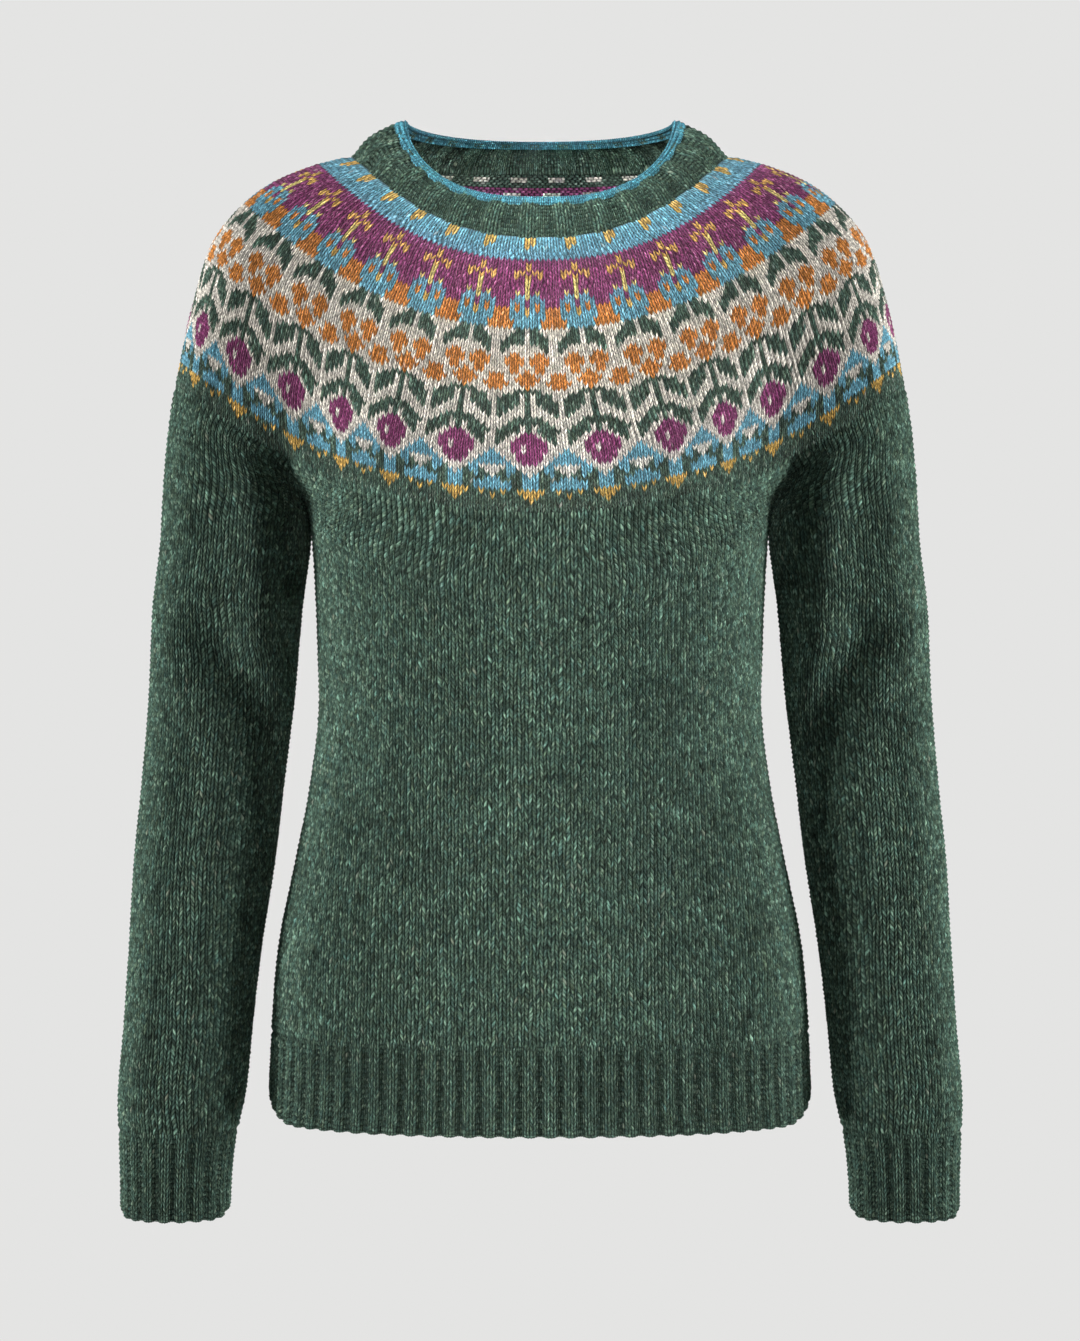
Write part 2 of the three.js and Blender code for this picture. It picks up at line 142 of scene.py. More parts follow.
# Smooth curve through every column of a table (Catmull-Rom with uneven steps)
def readTable(table, at):
    places = np.array(table["at"], float)
    facing = 1 if places[1] > places[0] else -1
    at = np.asarray(at, float)
    low = np.clip(np.searchsorted(places * facing, at * facing) - 1, 0, len(places) - 2)
    step = np.diff(places)
    part = (at - places[low]) / step[low]
    square = part * part
    cube = square * part
    ring = {}
    for name, values in table.items():
        values = np.array(values, float)
        rise = np.diff(values) / step
        share = step[1:] / (step[:-1] + step[1:])
        slope = np.concatenate([[rise[0]], rise[:-1] * share + rise[1:] * (1 - share), [rise[-1]]])
        bend = (cube - 2 * square + part) * slope[low] + (cube - square) * slope[low + 1]
        ring[name] = ((2 * cube - 3 * square + 1) * values[low] + (3 * square - 2 * cube) * values[low + 1]
                      + step[low] * bend)
    return ring


# A point on a neckband or yoke ring. Turn 0 is the front, a quarter turn the left shoulder.
def ringPoint(table, at, turn, foldDepth=0):
    ring = readTable(table, at)
    isFront = np.cos(turn) > 0
    sine = np.abs(np.sin(turn))
    cosine = np.abs(np.cos(turn))
    fromCrease = (np.arctan2(sine, cosine) - crease["turn"]) / crease["spread"]
    fold = 1 - foldDepth * np.exp(-fromCrease ** 2 / 2)
    endZ = np.where(isFront, ring["frontZ"], ring["backZ"])
    soft = softTip ** ring["power"]
    whole = (1 + softTip) ** ring["power"]
    drop = ((1 + softTip - sine ** ring["lift"]) ** ring["power"] - soft) / (whole - soft)
    return np.stack([
        ring["halfWidth"] * np.sin(turn),
        np.where(isFront, ring["frontY"], ring["backY"]) * cosine * fold,
        ring["sideZ"] + (endZ - ring["sideZ"]) * drop,
    ], -1)


def yokePoint(at, turn):
    return ringPoint(yokeRings, at, turn, readTable(armholeFolds, at)["depth"])


def neckPoint(at, turn):
    return ringPoint(neckRings, at, turn)


def bodyPoint(level, turn, isFront):
    ring = readTable(bodyRings, level)
    sine = np.sin(turn)
    cosine = np.maximum(np.cos(turn), 0)
    power = 2 / bodyRoundness
    return np.stack([
        ring["halfWidth"] * np.sign(sine) * np.abs(sine) ** power,
        ring["frontY" if isFront else "backY"] * cosine ** power,
        level + (ring["frontZ" if isFront else "backZ"] - level) * cosine ** 2,
    ], -1)


# Turn 0 is the underarm seam; the turn runs past the front, the outer side and the back
def sleevePoint(level, turn):
    ring = readTable(sleeveRings, level)
    return np.stack([
        ring["centreX"] - ring["halfWidth"] * np.cos(turn),
        ring["centreY"] - ring["halfDepth"] * np.sin(turn),
        np.broadcast_to(level, np.shape(ring["centreX"])),
    ], -1)


def lengthsAlong(points):
    steps = np.linalg.norm(np.diff(points, axis=-2), axis=-1)
    return np.concatenate([np.zeros(steps.shape[:-1] + (1,)), np.cumsum(steps, -1)], -1)


# The same curves with their points set at equal steps along each
def evenAcross(rows, count):
    lengths = lengthsAlong(rows)
    result = np.empty((len(rows), count, 3))
    for index, row in enumerate(rows):
        wanted = np.linspace(0, lengths[index, -1], count)
        for axis in range(3):
            result[index, :, axis] = np.interp(wanted, lengths[index], row[:, axis])
    return result


def evenDown(rows, count):
    steps = np.linalg.norm(np.diff(rows, axis=0), axis=-1).mean(1)
    run = np.concatenate([[0], np.cumsum(steps)])
    place = np.interp(np.linspace(0, run[-1], count), run, np.arange(len(rows)))
    low = np.minimum(place.astype(int), len(rows) - 2)
    part = (place - low)[:, None, None]
    return rows[low] * (1 - part) + rows[low + 1] * part


def smoothStep(value):
    value = np.clip(value, 0, 1)
    return value * value * (3 - 2 * value)


# Points pushed in or out by the creases. Every point moves straight back or forward, so that
# pieces that meet stay together.
def creased(points):
    flat = points[..., [0, 2]]
    trough, ridge = np.zeros(flat.shape[:-1]), np.zeros(flat.shape[:-1])
    for side, reach, depth, path in creases:
        facing = 1 if side == "back" else -1
        share = smoothStep(points[..., 1] * facing / creaseFade)
        gap = np.full(flat.shape[:-1], 1.0)
        for start, end in zip(path[:-1], path[1:]):
            start, run = np.array(start), np.subtract(end, start)
            part = np.clip(((flat - start) @ run) / (run @ run), 0, 1)
            gap = np.minimum(gap, np.linalg.norm(flat - start - part[..., None] * run, axis=-1))
        push = depth * share * np.exp(-(gap / reach) ** 2)
        trough = np.minimum(trough, push)
        ridge = np.maximum(ridge, push)
    push = (trough + ridge) * np.sign(points[..., 1])
    return points + push[..., None] * np.array([0, 1, 0])


def gridNormals(points, closed):
    down = np.gradient(points, axis=0)
    if closed:
        ring = np.concatenate([points[:, -2:-1], points, points[:, 1:2]], 1)
        across = (ring[:, 2:] - ring[:, :-2]) / 2
    else:
        across = np.gradient(points, axis=1)
    normal = np.cross(down, across)
    return normal / np.maximum(np.linalg.norm(normal, axis=-1, keepdims=True), 1e-12)


# The four corners of every cell of a grid: upper left, upper right, lower right, lower left
def cellCorners(grid):
    return grid[:-1, :-1], grid[:-1, 1:], grid[1:, 1:], grid[1:, :-1]


def cellMiddles(grid):
    a, b, c, d = cellCorners(grid)
    return (a + b + d + c) / 4


def cellAreas(points):
    a, b, c, d = cellCorners(points)
    return np.linalg.norm(np.cross(c - a, d - b), axis=-1) / 2


# A smooth cloth surface, sampled finely: rows run down the garment and columns anticlockwise
def clothField(rows, closed, rowCount=141, columnCount=321):
    points = creased(evenAcross(evenDown(rows, rowCount), columnCount))
    return {
        "points": points,
        "normals": gridNormals(points, closed),
        "closed": closed,
        "rowLength": lengthsAlong(points)[:, -1],
        "height": np.linalg.norm(np.diff(points, axis=0), axis=-1).mean(1).sum(),
    }


# Points and normals of a field at fractions down and across; past the ends it runs straight on
def sampleField(field, down, across):
    points, normals = field["points"], field["normals"]
    rowCount, columnCount = points.shape[:2]
    if field["closed"]:
        across = across % 1
    y = down * (rowCount - 1)
    x = across * (columnCount - 1)
    row = np.clip(y.astype(int), 0, rowCount - 2)
    column = np.clip(x.astype(int), 0, columnCount - 2)
    fy = (y - row)[..., None]
    fx = (x - column)[..., None]

    def mix(grid, fy):
        upper = grid[row, column] * (1 - fx) + grid[row, column + 1] * fx
        lower = grid[row + 1, column] * (1 - fx) + grid[row + 1, column + 1] * fx
        return upper * (1 - fy) + lower * fy

    normal = mix(normals, np.clip(fy, 0, 1))
    return mix(points, fy), normal / np.linalg.norm(normal, axis=-1, keepdims=True)


def rowLengthAt(field, down):
    return np.interp(down, np.linspace(0, 1, len(field["rowLength"])), field["rowLength"])


# Yarn colours, as they look in daylight (sRGB)
yarns = {
    "G": (68, 90, 78),
    "E": (214, 208, 197),
    "B": (106, 164, 184),
    "P": (132, 62, 107),
    "O": (200, 129, 62),
    "Y": (205, 166, 88),
    "L": (213, 197, 120),
    "C": (74, 138, 154),
}


def linearColour(colour):
    share = np.array(colour, float) / 255
    return np.where(share <= 0.04045, share / 12.92, ((share + 0.055) / 1.055) ** 2.4)


yarnLetters = "".join(yarns)
yarnTable = np.array([linearColour(colour) for colour in yarns.values()])


def yarnIndex(rows):
    return np.array([[yarnLetters.index(letter) for letter in row] for row in rows])


# Triangles between two lines of points that run side by side; "At" lists hold each point's
# place along its line
def zipLines(first, firstAt, second, secondAt):
    faces = []
    i = j = 0
    while i < len(first) - 1 or j < len(second) - 1:
        firstNext = firstAt[i + 1] if i < len(first) - 1 else math.inf
        secondNext = secondAt[j + 1] if j < len(second) - 1 else math.inf
        if firstNext <= secondNext:
            faces.append((first[i], second[j], first[i + 1]))
            i += 1
        else:
            faces.append((first[i], second[j], second[j + 1]))
            j += 1
    return np.array(faces, int)


pointKinds = {"plain": 0, "corner": 1, "middle": 2}
# Points closer than half a micron become one
mergeSteps = 2e6


# Collects a piece's points and faces, then makes the object. Each face has its strand coordinates,
# its place on the flat sheet, its colour and whether it is on the wrong side.
class Knit:
    def __init__(self, name):
        self.name = name
        self.points, self.kind = [], []
        self.faces, self.strand, self.sheetUv, self.colour, self.inside = [], [], [], [], []
        self.count = 0

    def addPoints(self, points, kind):
        first = self.count
        self.points.append(points.reshape(-1, 3))
        self.count += len(self.points[-1])
        self.kind.append(np.full(len(self.points[-1]), pointKinds[kind]))
        return first

    def addFaces(self, faces, strand, sheetUv, colour, inside=False):
        self.faces.append(faces.reshape(-1, 3))
        self.strand.append(strand.reshape(-1, 3, 2))
        self.sheetUv.append(sheetUv.reshape(-1, 3, 2))
        self.colour.append(colour.reshape(-1, 3))
        self.inside.append(np.full(len(self.faces[-1]), inside))

    def build(self, materials):
        points = np.concatenate(self.points)
        kind = np.concatenate(self.kind)
        faces = np.concatenate(self.faces)
        # Points that fall together, as at seams where columns end, become one
        keys = np.round(points * mergeSteps).astype(np.int64)
        _, firstOf, same = np.unique(keys, axis=0, return_index=True, return_inverse=True)
        same = same.reshape(-1)
        points, kind, faces = points[firstOf], kind[firstOf], same[faces]
        whole = (faces[:, 0] != faces[:, 1]) & (faces[:, 1] != faces[:, 2]) & (faces[:, 2] != faces[:, 0])
        used = np.zeros(len(points), bool)
        used[faces[whole]] = True
        newIndex = np.cumsum(used) - 1
        faces = newIndex[faces[whole]]
        points, kind = points[used], kind[used]
        strand = np.concatenate(self.strand)[whole]
        sheetUv = np.concatenate(self.sheetUv)[whole]
        colour = np.concatenate(self.colour)[whole]
        inside = np.concatenate(self.inside)[whole]

        mesh = bpy.data.meshes.new(self.name)
        mesh.vertices.add(len(points))
        mesh.vertices.foreach_set("co", points.astype(np.float32).ravel())
        mesh.loops.add(len(faces) * 3)
        mesh.loops.foreach_set("vertex_index", faces.astype(np.int32).ravel())
        mesh.polygons.add(len(faces))
        mesh.polygons.foreach_set("loop_start", np.arange(0, len(faces) * 3, 3, dtype=np.int32))
        mesh.polygons.foreach_set("material_index", inside.astype(np.int32))
        mesh.update(calc_edges=True)
        mesh.polygons.foreach_set("use_smooth", np.ones(len(faces), bool))
        mesh.uv_layers.new(name="OFBake").data.foreach_set("uv", sheetUv.astype(np.float32).ravel())
        mesh.uv_layers.new(name="Strand").data.foreach_set("uv", strand.astype(np.float32).ravel())
        yarn = mesh.color_attributes.new(name="Yarn", type="FLOAT_COLOR", domain="CORNER")
        corners = np.concatenate([colour, np.ones((len(colour), 1))], 1).repeat(3, 0)
        yarn.data.foreach_set("color", corners.astype(np.float32).ravel())
        # Each strand is shaded as its own small pillow, so the grooves between strands are creased
        ends = np.empty(len(mesh.edges) * 2, np.int32)
        mesh.edges.foreach_get("vertices", ends)
        groove = (kind[ends.reshape(-1, 2)] == pointKinds["corner"]).all(1)
        mesh.attributes.new("sharp_edge", "BOOLEAN", "EDGE").data.foreach_set("value", groove)
        for material in materials:
            mesh.materials.append(material)
        piece = bpy.data.objects.new(self.name, mesh)
        bpy.context.scene.collection.objects.link(piece)
        return piece


# The four triangles of every half stitch, from its corners and its raised middle
def fan(a, b, c, d, middle):
    triangles = ((a, d, middle), (d, c, middle), (c, b, middle), (b, a, middle))
    return np.stack([np.stack(triangle, 2) for triangle in triangles], 2)


# Where faces lie on the flat sheet used for baking: left, lower, right and upper edge
sheetPlaces = {
    "stitches": (0.01, 0.24, 0.99, 0.99),
    "wrongSide": (0.01, 0.02, 0.99, 0.20),
    "edges": (0.01, 0.21, 0.99, 0.22),
    "ribs": (0.01, 0.01, 0.99, 0.99),
    "ribEnds": (0.002, 0.002, 0.008, 0.006),
}
# Strand coordinates keep this far from the next strand's
strandInset = 0.002
# Half stitches squeezed below this area, in square metres, are left out
smallestHalf = 1e-10
greenShade = yarnTable[yarnLetters.index("G")]


# Adds stitches, two halves to each, from grids of points [line, boundary] and their raised middles
def addStitches(knit, corners, middles, yarn, shade, sheetPlace):
    lineCount, boundaryCount = corners.shape[:2]
    rows, halves = lineCount - 1, boundaryCount - 1
    grid = knit.addPoints(corners, "corner") + np.arange(lineCount * boundaryCount)
    grid = grid.reshape(lineCount, boundaryCount)
    middleGrid = knit.addPoints(middles, "middle") + np.arange(rows * halves).reshape(rows, halves)

    def pairs(x, y):
        return np.stack(np.broadcast_arrays(x, y), -1)

    # Strand coordinates: along, from the stitch's top to its foot, then across
    half = np.arange(halves)
    startAlong = np.where(half % 2 == 0, strandInset, 1 - strandInset)
    left, right = half + startAlong, half + (1 - startAlong)
    top = np.arange(rows)[:, None] + strandInset
    bottom = top + 1 - 2 * strandInset
    strand = fan(pairs(left, top), pairs(right, top), pairs(right, bottom), pairs(left, bottom),
                 pairs(half + 0.5, (top + bottom) / 2))
    x0, y0, x1, y1 = sheetPlaces[sheetPlace]
    a, b, c, d = cellCorners(pairs(x0 + (x1 - x0) * np.arange(boundaryCount) / halves,
                                   y1 - (y1 - y0) * np.arange(lineCount)[:, None] / rows))
    sheetUv = fan(a, b, c, d, (a + c) / 2)
    faces = fan(*cellCorners(grid), middleGrid)
    colour = np.broadcast_to((yarnTable[yarn] * shade)[:, :, None, :], (rows, halves, 4, 3))
    isWide = cellAreas(corners) > smallestHalf
    knit.addFaces(faces[isWide], strand[isWide], sheetUv[isWide], colour[isWide])
    return grid


def addStrip(knit, faces, sheetPlace="edges"):
    x0, y0, x1, y1 = sheetPlaces[sheetPlace]
    place = np.linspace(x0, x1, len(faces) + 1)
    sheetUv = np.empty((len(faces), 3, 2))
    sheetUv[:, :, 0] = np.stack([place[:-1], place[1:], place[1:]], -1)
    sheetUv[:, :, 1] = (y0, y0, y1)
    strand = np.full((len(faces), 3, 2), 0.5)
    knit.addFaces(faces, strand, sheetUv, np.broadcast_to(greenShade, (len(faces), 3)), True)


# The wrong side: a plain grid behind the stitches, joined to them along every free edge.
# "down" and "across" place its lines, and "outerAcross" the boundaries of the stitches.
def addWrongSide(knit, field, outerGrid, outerAcross, down, across, yarn):
    points, normals = sampleField(field, *np.meshgrid(down, across, indexing="ij"))
    rows, columns = points.shape[:2]
    grid = knit.addPoints(points - normals * wall["plain"], "plain")
    grid = grid + np.arange(rows * columns).reshape(rows, columns)
    x0, y0, x1, y1 = sheetPlaces["wrongSide"]
    flat = np.stack(np.meshgrid(np.linspace(x0, x1, columns), np.linspace(y1, y0, rows)), -1)
    strand = np.stack(np.meshgrid(across * (columns - 1), down * (len(outerGrid) - 1)), -1)

    def triangles(values):
        a, b, c, d = cellCorners(values)
        return np.stack([np.stack(triangle, 2) for triangle in ((a, b, c), (a, c, d))], 2)

    colour = np.broadcast_to(yarnTable[yarn][:, :, None, :], (rows - 1, columns - 1, 2, 3))
    knit.addFaces(triangles(grid), triangles(strand), triangles(flat), colour, True)
    addStrip(knit, zipLines(outerGrid[-1], outerAcross[-1], grid[-1], across))
    addStrip(knit, zipLines(grid[0], across, outerGrid[0], outerAcross[0]))
    if not field["closed"]:
        outerDown = np.linspace(0, 1, len(outerGrid))
        addStrip(knit, zipLines(outerGrid[:, 0], outerDown, grid[:, 0], down))
        addStrip(knit, zipLines(grid[:, -1], down, outerGrid[:, -1], outerDown))


# How far the grooves lie below the smooth surface and the strands above it, how uneven the strands
# are and how far a first line tucks under the piece above
relief = {"groove": -0.0008, "strand": 0.0007, "jitter": 0.00014, "tuck": 0.0007}


# Knitted columns are never quite straight, but they all start straight
def swayAcross(random, lineCount, boundaryCount):
    weights = np.array([1, 2, 3, 3, 2, 1])
    noise = random.normal(0, 1, (lineCount + len(weights) - 1, boundaryCount))
    sway = sum(weight * noise[index:index + lineCount] for index, weight in enumerate(weights))
    fadeIn = smoothStep(np.arange(lineCount)[:, None] / gauge["straightLines"])
    sway = sway / np.linalg.norm(weights) * gauge["sway"] * fadeIn
    sway[:, [0, -1]] = 0
    return np.clip(sway, -0.4, 0.4)


# Corners and raised middles of plain knitting on a field. across[line, boundary] are fractions of
# each row, lineCurve spaces the lines and bulk scales the relief. The foot of each V lies lower.
def stitchPoints(field, rowCount, across, random, lineCurve=None, bulk=1):
    lineCount, boundaryCount = across.shape
    half = np.arange(boundaryCount) % 2
    gaps = np.diff(across, axis=1)
    typical = np.maximum(np.median(gaps, axis=1, keepdims=True), 1e-9)
    gaps = np.abs(np.concatenate([gaps[:, :1], gaps, gaps[:, -1:]], 1))
    room = np.clip(np.minimum(gaps[:, :-1], gaps[:, 1:]) / typical, 0, 1)
    across = across + swayAcross(random, *across.shape) * typical * room
    down = (np.arange(lineCount)[:, None] + half * room * gauge["vDrop"]) / rowCount
    if lineCurve is not None:
        down = lineCurve(down)
    # The first line is straight, and tucked under the piece above
    down[0] = 0
    corners, normals = sampleField(field, down, across)
    corners = corners + normals * relief["groove"] * bulk
    corners[0] -= normals[0] * relief["tuck"]
    middles, normals = sampleField(field, cellMiddles(down), cellMiddles(across))
    squeeze = np.clip(np.abs(np.diff(across, axis=1))[:-1] / typical[:-1], 0.15, 1)
    lift = bulk * (relief["strand"] + random.normal(0, relief["jitter"], middles.shape[:2]))
    lift[0] -= relief["tuck"]
    return corners, middles + normals * (lift * squeeze)[..., None]


# How much the shade varies from strand to strand, in broad clouds and towards warm or cool
woolShade = {
    "green": 0.33,
    "other": 0.09,
    "cloud": 0.07,
    "cloudRows": 5,
    "cloudHalves": 12,
    "hue": 0.05,
    "hueShares": (1, 0, -0.8),
}


def heather(random, yarn, evenness=1):
    rows, halves = yarn.shape
    isGreen = yarn == yarnLetters.index("G")
    high, wide = woolShade["cloudRows"], woolShade["cloudHalves"]
    coarse = random.normal(0, 1, (rows // high + 2, halves // wide + 2))
    y, x = np.meshgrid(np.arange(rows) / high, np.arange(halves) / wide, indexing="ij")
    row, column = y.astype(int), x.astype(int)
    fy, fx = smoothStep(y - row), smoothStep(x - column)
    upper = coarse[row, column] * (1 - fx) + coarse[row, column + 1] * fx
    lower = coarse[row + 1, column] * (1 - fx) + coarse[row + 1, column + 1] * fx
    cloud = woolShade["cloud"] * (upper * (1 - fy) + lower * fy)
    spread = np.where(isGreen, woolShade["green"], woolShade["other"])
    strand = random.normal(0, 1, yarn.shape) * spread * evenness
    hue = random.normal(0, woolShade["hue"], yarn.shape) * isGreen
    return np.exp((strand + cloud)[..., None] + hue[..., None] * np.array(woolShade["hueShares"]))


quarter = math.pi / 2
hemFineTurns = np.linspace(0, 2 * math.pi, 2881)
hemFineArc = lengthsAlong(yokePoint(np.ones_like(hemFineTurns), hemFineTurns))
hemLength = hemFineArc[-1]
hemArcAtCrease = np.interp(crease["turn"], hemFineTurns, hemFineArc)
hemArcAtBackCrease = np.interp(math.pi - crease["turn"], hemFineTurns, hemFineArc)


# Rows of a panel that hangs from the yoke's lower edge: its raglan part, then down to "bottom"
def panelRows(arcFrom, arcTo, lowerCurve, lowerFrom, lowerTo, bottom, columns=241):
    arcs = np.linspace(arcFrom, arcTo, columns)
    turns = np.interp(arcs % hemLength, hemFineArc, hemFineTurns)
    one = np.ones(columns)
    top = yokePoint(one, turns)
    topDown = yokePoint(one + 0.01, turns) - yokePoint(one - 0.01, turns)
    topDown /= np.linalg.norm(topDown, axis=-1, keepdims=True)
    fineTurns = np.linspace(lowerFrom, lowerTo, columns * 8)
    underarm = heights["underarm"]
    lengths = lengthsAlong(lowerCurve(np.full_like(fineTurns, underarm), fineTurns))
    lowerTurns = np.interp(np.linspace(0, lengths[-1], columns), lengths, fineTurns)
    ring = lowerCurve(np.full(columns, underarm), lowerTurns)
    ringDown = lowerCurve(np.full(columns, underarm - 0.0005), lowerTurns) - ring
    ringDown /= np.linalg.norm(ringDown, axis=-1, keepdims=True)
    reach = np.linalg.norm(ring - top, axis=-1, keepdims=True)
    rows = []
    for part in np.linspace(0, 1, shapeLines["raglan"]):
        square, cube = part ** 2, part ** 3
        rows.append((2 * cube - 3 * square + 1) * top + (3 * square - 2 * cube) * ring
                    + (cube - 2 * square + part) * reach * topDown + (cube - square) * reach * ringDown)
    for level in np.linspace(underarm, bottom, shapeLines["panel"])[1:]:
        rows.append(lowerCurve(np.full(columns * 2, level), np.linspace(lowerFrom, lowerTo, columns * 2)))
    return np.stack([evenAcross(row[None], columns)[0] for row in rows])


# Straight down from "top" to "bottom"; the lowest edge is rounded up at its two sides
def straightRows(lowerCurve, lowerFrom, lowerTo, top, bottom, radius, columns=241):
    turns = np.linspace(lowerFrom, lowerTo, columns * 2)
    levels = np.linspace(top, bottom, shapeLines["rib"])
    rows = [lowerCurve(np.full(columns * 2, level), turns) for level in levels]
    rows = np.stack([evenAcross(row[None], columns)[0] for row in rows])
    x = rows[-1, :, 0]
    fromSide = np.clip(np.minimum(x - x.min(), x.max() - x) / radius, 0, 1)
    raised = radius * (1 - np.sqrt(1 - (1 - fromSide) ** 2))
    rows[..., 2] += np.linspace(0, 1, len(rows))[:, None] ** 2 * raised
    return rows


def ringRows(surface, atFrom, atTo, columns=961):
    turns = np.linspace(0, 2 * math.pi, columns)
    places = np.linspace(atFrom, atTo, shapeLines["ring"])
    return np.stack([surface(np.full(columns, at), turns) for at in places])


yokeField = clothField(ringRows(yokePoint, 0, 1), True, columnCount=641)
neckbandField = clothField(ringRows(neckPoint, neckHeights["bandTop"], 0), True, 41, 641)
neckEdgeField = clothField(ringRows(neckPoint, 1, neckHeights["edgeStart"]), True, 21, 641)
print("yoke and neck surfaces ready")

# Knitting of the yoke: "phase" is where its first repeat starts and "spread" how much wider its
# front and back are knitted, both from the neck (0) to the body (1)
yokeKnit = {
    "repeats": 28,
    "fullRepeat": 14,
    "neckRowGain": 0.26,
    "at": (0, 0.26, 0.52, 0.63, 0.79, 1),
    "phase": (-0.812, -0.803, -0.745, -0.725, -0.680, -9 / 14),
    "spread": (-0.023, -0.120, -0.049, 0.005, 0.088, 0.088),
}
# Yoke chart, from the neck down. A string is one repeat; the repeats narrow towards the neck.
# G green, E ecru, B light blue, P plum, O orange, Y yellow, L pale yellow
yokeChart = [
    "BBBYYBB",
    "BBBYYBB",
    "BBBYBBB",
    "BBBBBBB",
    "BBBBBBB",
    "BBBBBBBB",
    "PPPPPPPP",
    "PPPPYPPP",
    "PPPPYPPP",
    "PPYYPYYP",
    "PPYPYPYP",
    "PPPPLPPP",
    "PPPPLPPP",
    "PPPPPLPPPP",
    "PPPLPLPLPP",
    "PPPBBLBBPP",
    "PPBBBPBBBP",
    "PPBOBPBOBP",
    "OOBOBYBOBO",
    "OOBBBYBBBO",
    "OOBBBBBBBO",
    "OOOBBBBBOO",
    "OOOBBBBBOO",
    "EEEEGGEGGEEE",
    "EEEGGGEGGGEE",
    "EEGGGGEGGGGE",
    "EGGGGGEGGGGE",
    "EGGEEEEEEGGE",
    "EGEEEEEEEEGE",
    "EEEOOEEEOOEE",
    "EEOOOOEOOOOE",
    "EEOOOOEOOOOE",
    "EEEOOEEEOOEE",
    "EEEOOEOEOOEE",
    "OOEEEOOOEEEO",
    "OOEEOOOOOEEO",
    "OOOEEOOOEEOO",
    "OOEEEEOEEEEO",
    "EEEEGGGGGEEE",
    "EEGGGEGEGGGE",
    "EGGGGEGEGGGE",
    "EGGGGEGEGGGG",
    "EGGGEEGEEGGG",
    "EGGEEEGEEEGG",
    "EGEEEEGEEEEG",
    "EEEEGGGGGEEE",
    "EEEGGGGGGGEE",
    "EEGGGEGEGGGE",
    "EGGGGEGEGGGG",
    "EGGGEEPPPEGGGE",
    "EGGEEPPPPPEGGE",
    "EGEEPPPPPPPEGE",
    "EEEEPPEPPPPEEE",
    "BEEEPPEPPPPEEE",
    "BBEEEPPPPPEEEB",
    "BBBEEPPPPPEEBB",
    "BBBBEEPPPEEBBB",
    "EEEBBEEEEEBBEE",
    "EEGBBGEEEGBBGE",
    "EGGBGGBEBGGBGG",
    "BBGGGGBBBGGGGB",
    "BBBBGGBBBGGBBB",
    "BBBBGGBBBGGBBB",
    "GGYGGYYYYYGGYG",
    "YGGGGGYYYGGGGG",
    "GGGGGGGYGGGGGG",
    "GGGGGGGGGGGGGG",
    "GGGGGGGGGGGGGG",
]
# Which of a repeat's fourteen columns go on in the narrower rows
keptColumns = {
    14: tuple(range(14)),
    12: (0, 1, 2, 4, 5, 6, 7, 8, 9, 10, 12, 13),
    10: (0, 1, 2, 4, 6, 7, 8, 10, 12, 13),
    8: (0, 2, 4, 6, 7, 8, 10, 12),
    7: (2, 4, 6, 7, 8, 10, 12),
}


# Yarn of each of the fourteen columns in a chart row; a dropped column takes its neighbour's
def fullRow(row):
    kept = keptColumns[len(row)]
    letters = []
    for column in range(yokeKnit["fullRepeat"]):
        nearest = min(range(len(kept)), key=lambda index: abs(kept[index] - column))
        letters.append(row[nearest])
    return "".join(letters)


# The front and back of the yoke are knitted a little wider or narrower than its shoulders
def spreadRound(fraction, spread):
    return fraction + spread / (4 * math.pi) * np.sin(4 * math.pi * fraction)


# Fractions round the yoke of every stitch boundary on every line between rows
def yokeAcross():
    full, repeats = yokeKnit["fullRepeat"], yokeKnit["repeats"]
    rowWeights = np.zeros((len(yokeChart), full))
    for index, row in enumerate(yokeChart):
        rowWeights[index, list(keptColumns[len(row)])] = 1
    lineWeights = np.concatenate([rowWeights[:1], (rowWeights[:-1] + rowWeights[1:]) / 2, rowWeights[-1:]])
    half = np.repeat(lineWeights, 2, axis=1)
    run = np.concatenate([np.zeros((len(half), 1)), np.cumsum(half, 1)], 1)
    run /= run[:, -1:]
    across = np.concatenate([run[:, :-1] + repeat for repeat in range(repeats)] + [run[:, :1] + repeats], 1)
    lines = np.linspace(0, 1, len(half))[:, None]
    phase = np.interp(lines, yokeKnit["at"], yokeKnit["phase"])
    spread = np.interp(lines, yokeKnit["at"], yokeKnit["spread"])
    return spreadRound((across + phase) / repeats, spread)


neckStitches = len(yokeChart[0]) * yokeKnit["repeats"]


# The yoke's rows are a little taller near the neck
def yokeDown(lines):
    return lines + yokeKnit["neckRowGain"] * lines * (1 - lines) ** 2


seeds = {
    "yoke": 11,
    "neckband": 12,
    "neck_edge": 13,
    "front": 21,
    "back": 22,
    "sleeve_left": 23,
    "sleeve_right": 24,
    "hem_rib_front": 31,
    "hem_rib_back": 32,
    "cuff_left": 33,
    "cuff_right": 34,
}
# Floats of the other yarn on the yoke's wrong side, by row, over a stretch of plum rows
yokeFloats = {1: "GEEEGGG", 4: "PPEEEPP", 6: "EPPPEEE", 8: "PEEEPPP"}
plumRows = slice(3, 9)
# The wrong side has a line for each of the yoke's first rows, then these down to its lower edge
yokeFineRows = 10
yokeCoarseLines = 19
yokeRelief = 0.6


